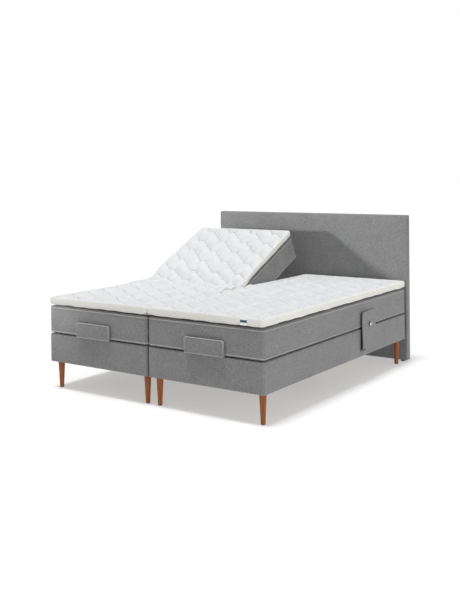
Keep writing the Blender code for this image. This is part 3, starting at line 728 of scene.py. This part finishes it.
topper_low_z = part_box("topper_calf_right")[0].z
topper_top_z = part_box("topper_calf_right")[1].z
split_from, split_to = foot_y + 1.150, foot_y + 1.230
topper_rounding = np.array((0.024, 0.024, 0.016))
edge_radius, edge_height = 0.024, 0.016
topper_cell = (0.0062, 0.0062, 0.004)
half_join_gap, just_past_edge = 0.0003, 0.0241
bead_depths, bead_width, bead_height = (0.0185, 0.0300), 0.0028, 0.0024
for side, outward in (("left", -1), ("right", 1)):
    low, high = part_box(f"topper_calf_{side}")
    low = np.array((low.x, foot_y, topper_low_z))
    high = np.array((high.x, head_y, topper_top_z))
    inner_face = half_join_gap * outward
    if side == "left":
        high[0] = inner_face
    else:
        low[0] = inner_face
    tall = high[2] - low[2]
    turn = np.array([edge_height * (1 - math.tan(math.radians(a))) for a in (45, 34, 22.5, 11, 0)])
    between = np.linspace(edge_height, tall - edge_height, 11)[1:-1]
    rows = low[2] + np.concatenate([turn, between, tall - turn[::-1]])
    flat, square, quads = rounded_block(low, high, topper_rounding, topper_cell, rows)
    for split in splits:
        nearest = np.unique(square[:, 1])[np.abs(np.unique(square[:, 1]) - split).argmin()]
        flat[square[:, 1] == nearest, 1] = split
        square[square[:, 1] == nearest, 1] = split
    butted = 1 - smooth_step(square[:, 1], split_from, split_to)
    at_inner = np.abs(square[:, 0] - inner_face) < just_past_edge
    keep = (butted * at_inner)[:, None]
    near_foot = np.abs(square[:, 1] - low[1])
    rounding = 1 - np.sqrt(np.clip(1 - (1 - near_foot / edge_radius) ** 2, 0, 1))
    foot_drop = np.where(near_foot < edge_radius, edge_height * rounding, 0)
    squared_edge = square.copy()
    squared_edge[:, 2] = np.clip(square[:, 2], low[2] + foot_drop, high[2] - foot_drop)
    flat = flat * (1 - keep) + squared_edge * keep

    from_join = np.abs(square[:, 0] - inner_face)
    on_top = np.where(
        (from_join < 1e-6) & (butted > 0),
        smooth_step(square[:, 2], high[2] - 0.040, high[2]),
        smooth_step(flat[:, 2], high[2] - 0.010, high[2] - 0.0002),
    )
    border = np.minimum.reduce([
        np.abs(square[:, 0] - (low[0] if outward > 0 else high[0])) + 1.0 * butted,
        np.abs(square[:, 0] - (high[0] if outward > 0 else low[0])),
        square[:, 1] - low[1],
        high[1] - square[:, 1],
    ])
    near_edge = smooth_step(border, 0.010, 0.045)
    turns = (square[:, 0] - line_start[0]) / wave_length
    angle = 2 * math.pi * turns
    swing = np.sin(angle) + 0.5 * np.sin(2 * angle) + 0.4 * np.sin(3 * angle)
    line_y = line_start[1] + wave_height * swing - line_spacing * turns
    steepness = np.cos(angle) + np.cos(2 * angle) + 1.2 * np.cos(3 * angle)
    slope = (2 * math.pi * wave_height * steepness - line_spacing) / wave_length
    phase = (square[:, 1] - line_y) / line_spacing
    away = np.abs(phase - np.round(phase)) * line_spacing / np.sqrt(1 + slope**2)
    along_line = square[:, 0] - square[:, 1]
    groove = np.exp(-away / 0.0150) * (0.72 - 0.28 * np.cos(3 * angle))
    crown = np.exp(-((away / 0.040) ** 2))
    shift = 2.5 * np.sin(square[:, 1] * 31) + 1.5 * np.sin(square[:, 0] * 17)
    pucker = np.sin(2 * math.pi * along_line / 0.046 + shift) * np.exp(-away / 0.024)
    lumps = np.sin(square[:, 0] * 29 + 4 * np.sin(square[:, 1] * 11)) * np.sin(square[:, 1] * 31 + 1.7)
    lift = -0.0145 * groove - 0.0090 * crown + 0.0030 * pucker + 0.0026 * lumps * (1 - crown)
    flat[:, 2] += on_top * (lift * near_edge - 0.0035 * (1 - near_edge))

    up = (square[:, 2] - low[2]) / tall
    beads = bead_height * sum(ridge(square[:, 2], high[2] - depth, bead_width) for depth in bead_depths)
    headward = smooth_step(square[:, 1], split_from, split_to)
    belly = 0.0035 * np.sin(math.pi * up) + 0.0007 * np.sin(square[:, 1] * 47) * np.sin(math.pi * up)
    out = side_outward(square, low, high, topper_rounding)
    is_inner = out[:, 0] * outward < -0.5
    tuck = 0.016 * smooth_step(0.42 - up, 0.0, 0.42)
    flat += out * (np.where(is_inner, -tuck * headward, belly) + beads * headward)[:, None]
    wavy = np.sin(square[:, 0] * 43 + 1) + np.sin(square[:, 1] * 39 + 2)
    wavy = np.clip(wavy + np.sin((square[:, 0] + square[:, 1]) * 17), -1, 2)
    near_hem = smooth_step(0.30 - up, 0.0, 0.22)
    lifted_hem = (0.0068 + 0.0014 * wavy) * smooth_step(0.080 - border, 0.0, 0.030)
    flat[:, 2] += lifted_hem * near_hem
    flat += out * (-0.0012 * wavy * near_hem * ~is_inner)[:, None]

    # The foam bunches up in the hollow of the raised back, and the join between the halves is drawn level.
    distance = square[:, 1] - foot_y
    level_join = 0.005 * outward * ridge(distance, 1.17, 0.13) * np.exp(-from_join / 0.09)
    bunched = 0.019 * ridge(distance, 0.98, 0.17) if side == "left" else 0.0
    flat[:, 2] += (bunched + level_join) * smooth_step(up, 0.25, 0.95)

    quad_points = square[np.array(quads)]
    is_top = (quad_points[:, :, 2] > high[2] - 0.012).all(1)
    on_join = (np.abs(quad_points[:, :, 0] - inner_face) < 1e-6).all(1)
    is_butted = on_join & (quad_points[:, :, 1] < split_from).all(1)
    stands_for = (
        (f"topper_calf_{side}",),
        (f"topper_leg_bend_{side}",),
        (f"topper_back_bend_{side}", f"topper_back_{side}"),
    )
    cloths, is_border = [white_ticking, cream_knit], (~is_top).astype(int).tolist()
    bedding_lengths(
        "topper", side, flat, quads, is_border, cloths, stands_for, is_butted
    )

# Tag. A small square of woven white satin, blank but for a navy band, sewn to the topper's border at the
# right of the foot end.
tag_left, tag_right, tag_foot, tag_top = 0.736, 0.784, 0.594, 0.640
tag_width, tag_tall = 0.048, 0.046
band_height, band_half = 0.619, 0.0075
tag_cloth = plain_material("white_tag_satin", (0.80, 0.80, 0.80), 0.5)
tag = Nodes(tag_cloth)
tag_at = tag.add("TexCoord").outputs["Object"]
satin = tag.noise(tag.stretched(tag_at, (900, 900, 200)), 1.0, 2.0)
tag_white = tag.ramp(satin, (0.3, (0.80, 0.80, 0.82)), (0.7, (0.90, 0.90, 0.90)))
tag_height = tag.add("SeparateXYZ", {0: tag_at}).outputs[2]
from_band = tag.math("ABSOLUTE", tag.math("SUBTRACT", tag_height, band_height))
band = tag.math("LESS_THAN", from_band, band_half)
tag.colour(tag.mix(band, tag_white, (0.020, 0.045, 0.110, 1.0)))
tag.normal(tag.bump(satin, 0.2, 0.0003))
tag_low, tag_high = (tag_left, foot_y - 0.0074, tag_foot), (tag_right, foot_y - 0.0056, tag_top)
points, square, quads = rounded_block(tag_low, tag_high, (0.0006, 0.0006, 0.0006), (0.004, 0.004, 0.004))
curl = np.cos((points[:, 0] - tag_left) / tag_width * 2 * math.pi)
points[:, 1] += 0.0012 * curl * (points[:, 2] - tag_foot) / tag_tall
tag_piece = make_piece("border_tag", points, quads, [tag_cloth])
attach(tag_piece, "calf_right")

# Mattress retainers. A padded plate in the box's cloth stands at the foot of each mattress on a flat strap
# that is screwed into the calf deck. Its front edge is piped.


def bead(name, path, radius, material, closed=False, sides=8):
    """A round cord along a path."""
    path = np.array(path, float)
    if closed:
        ahead_points, behind_points = np.roll(path, -1, 0), np.roll(path, 1, 0)
    else:
        ahead_points = np.vstack([path[1:], path[-1:]])
        behind_points = np.vstack([path[:1], path[:-1]])
    points = []
    for here, after, before in zip(path, ahead_points, behind_points):
        run = Vector(after - before).normalized()
        across = run.orthogonal() if abs(run.y) > 0.9 else run.cross(Vector((0, 1, 0))).normalized()
        other = run.cross(across)
        for k in range(sides):
            angle = 2 * math.pi * k / sides
            points.append(Vector(here) + radius * (math.cos(angle) * across + math.sin(angle) * other))
    faces = []
    count = len(path)
    for row in range(count if closed else count - 1):
        for k in range(sides):
            a, b = row * sides + k, row * sides + (k + 1) % sides
            shift = ((row + 1) % count - row) * sides
            faces.append((a, b, b + shift, a + shift))
    if not closed:
        faces.append(tuple(range(sides))[::-1])
        faces.append(tuple(range((count - 1) * sides, count * sides)))
    return make_piece(name, points, faces, [material])


def plate_outline(low_x, high_x, low_z, high_z, radius, inset=0.0):
    """Outline of an upright plate with rounded upper corners, anticlockwise seen from the foot."""
    outline = [(low_x + inset, low_z + inset), (high_x - inset, low_z + inset)]
    for centre_x, start in ((high_x - radius, 0), (low_x + radius, 90)):
        for step in range(0, 91, 10):
            angle = math.radians(start + step)
            reach = radius - inset
            outline.append((centre_x + reach * math.cos(angle), high_z - radius + reach * math.sin(angle)))
    return outline


plate_depth, plate_corner, cord_radius = 0.018, 0.016, 0.0034
for side in ("left", "right"):
    node = f"mattress_retainer_{side}"
    low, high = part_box(node)
    front, back = low.y, low.y + plate_depth
    strap_z = low.z
    plate = (low.x, high.x, strap_z, high.z, plate_corner)
    layers = ((0.012, front - 0.0015), (0.003, front), (0.0, front + 0.003), (0.0, back - 0.003), (0.003, back))
    rings = [[(x, y, z) for x, z in plate_outline(*plate, inset)] for inset, y in layers]
    points = [point for ring in rings for point in ring]
    count = len(rings[0])
    faces = [
        (r * count + k, r * count + (k + 1) % count, (r + 1) * count + (k + 1) % count, (r + 1) * count + k)
        for r in range(len(rings) - 1)
        for k in range(count)
    ]
    faces.append(tuple(range(count))[::-1])
    faces.append(tuple(range((len(rings) - 1) * count, len(rings) * count)))
    pad = make_piece(f"retainer_pad_{side}", points, faces, [grey_cloth])
    pad.data.set_sharp_from_angle(angle=math.radians(60))
    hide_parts(node)
    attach(pad, f"calf_{side}")
    run = [(x, front + 0.001, z) for x, z in plate_outline(*plate, 0.0015)]
    piping = bead(f"retainer_piping_{side}", run, cord_radius, piping_cloth, True)
    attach(piping, f"calf_{side}")
    strap_low = (low.x + 0.05, back - 0.004, strap_z + 0.0002)
    strap_high = (high.x - 0.05, high.y, strap_z + 0.003)
    points, square, quads = rounded_block(strap_low, strap_high, (0.001, 0.001, 0.001), (0.02, 0.02, 0.01))
    strap = make_piece(f"retainer_strap_{side}", points, quads, [zinc])
    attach(strap, f"calf_{side}")

# Handset pockets. A cloth panel on each outer side, sewn down behind and below and open towards the foot and
# above, with a press stud. A slim black handset stands in the right one.
panel_y0, panel_y1 = foot_y + 1.230, foot_y + 1.470
panel_z0, panel_z1 = 0.230, 0.505
box_side_x, panel_thickness = 0.9, 0.0022
columns, lines = 25, 29
for side, outward in (("left", -1), ("right", 1)):
    wall_x = box_side_x * outward
    points = []
    for layer in (0.0, -panel_thickness):
        for i in range(columns):
            u = i / (columns - 1)
            for j in range(lines):
                v = j / (lines - 1)
                mouth = (1 - u) ** 1.15
                lower = 1.0 - smooth_step(v, 0.0, 0.10)
                sway = 0.86 + 0.14 * math.cos(2 * math.pi * (v - 0.2))
                depth = 0.0035 + 0.0205 * mouth * (1 - 0.75 * lower) * sway
                nip = math.exp(-(((u - 0.54) / 0.16) ** 2 + ((v - 0.62) / 0.12) ** 2))
                depth -= 0.004 * nip * mouth
                in_hem = j in (0, 1, lines - 2, lines - 1) or i in (0, 1)
                hem = 0.0010 if in_hem and layer == 0.0 else 0.0
                y = panel_y0 + (panel_y1 - panel_y0) * u
                z = panel_z0 + (panel_z1 - panel_z0) * v
                points.append((wall_x + outward * (depth + layer + hem), y, z))
    faces = []
    size = columns * lines
    for i in range(columns - 1):
        for j in range(lines - 1):
            a = i * lines + j
            ring = (a, a + lines, a + lines + 1, a + 1)
            faces.append(ring if outward > 0 else ring[::-1])
            ring = tuple(size + v for v in ring)
            faces.append(ring[::-1] if outward > 0 else ring)
    border = [i * lines for i in range(columns)] + [(columns - 1) * lines + j for j in range(1, lines)]
    border += [i * lines + lines - 1 for i in range(columns - 2, -1, -1)] + list(range(lines - 2, 0, -1))
    for a, b in zip(border, border[1:] + border[:1]):
        ring = (a, size + a, size + b, b)
        faces.append(ring if outward > 0 else ring[::-1])
    panel = make_piece(f"pocket_panel_{side}", points, faces, [grey_cloth])
    panel.data.set_sharp_from_angle(angle=math.radians(50))
    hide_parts(f"handset_pocket_{side}")
    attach(panel, "base")

snap_chrome = worn_metal("snap_chrome", (0.62, 0.62, 0.63), (0.75, 0.75, 0.75), 0.18, 1.0)
for side, outward in (("left", -1), ("right", 1)):
    low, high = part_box(f"pocket_snap_{side}")
    centre = (low + high) / 2
    profile = [(0.0145, 0.0), (0.017, 0.0012), (0.017, 0.0030), (0.0150, 0.0046), (0.0128, 0.0050)]
    profile += [(0.0124, 0.0042), (0.0100, 0.0046), (0.0060, 0.0054), (0.0020, 0.0057)]
    snap = turned(f"press_stud_{side}", profile, (0, 0), [black_shell, snap_chrome], tuple(range(4, 9)))
    spin = Matrix.Rotation(math.radians(90) * outward, 4, "Y")
    snap.data.transform(Matrix.Translation((centre.x - outward * 0.003, centre.y, centre.z)) @ spin)
    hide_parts(f"pocket_snap_{side}")
    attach(snap, "base")

finish_node("handset_right", black_shell)

# Headboard. A flat board padded and covered in the same cloth, with a seam round its front edge and a black
# lining behind. It stands on two black glides.
low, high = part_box("headboard")
points, square, quads = rounded_block(low, high, (0.009, 0.009, 0.009), (0.03, 0.003, 0.03))
seam = 0.0040 * ridge(square[:, 1], low.y + 0.0150, 0.0035)
on_left, on_right = np.abs(square[:, 0] - low.x) < 1e-6, np.abs(square[:, 0] - high.x) < 1e-6
x_face = np.where(on_left, -1, 0) + np.where(on_right, 1, 0)
z_face = np.where(np.abs(square[:, 2] - high.z) < 1e-6, 1, 0)
points[:, 0] -= x_face * seam
points[:, 2] -= z_face * seam
headboard = make_piece("headboard_cover", points, quads, [grey_cloth])
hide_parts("headboard")
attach(headboard, "base")

lining_cloth = woven_cloth("black_lining", (0.012, 0.012, 0.013), (0.030, 0.030, 0.031), 0.0014, 0.0003)
margin = 0.025
lining_low = (low.x + margin, high.y - 0.001, low.z + margin)
lining_high = (high.x - margin, high.y + 0.0012, high.z - margin)
points, square, quads = rounded_block(lining_low, lining_high, (0.001, 0.001, 0.001), (0.05, 0.05, 0.05))
lining = make_piece("headboard_lining", points, quads, [lining_cloth])
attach(lining, "base")

for word in ("left", "right"):
    node = f"headboard_glide_{word}"
    low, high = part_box(node)
    centre = ((low.x + high.x) / 2, (low.y + high.y) / 2)
    profile = [(0.0150, high.z), (0.0150, 0.0075), (0.0172, 0.0060), (0.0180, 0.0030), (0.0165, 0.0006)]
    glide = turned(f"round_{node}", profile, centre, [black_shell], ())
    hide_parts(node)
    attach(glide, "base")

# Every piece but the toppers stands in the flagged lamp's light.
for piece in stage.objects:
    if piece.type == "MESH" and piece != floor and not piece.name.startswith("topper_"):
        lamp_reaches.objects.link(piece)
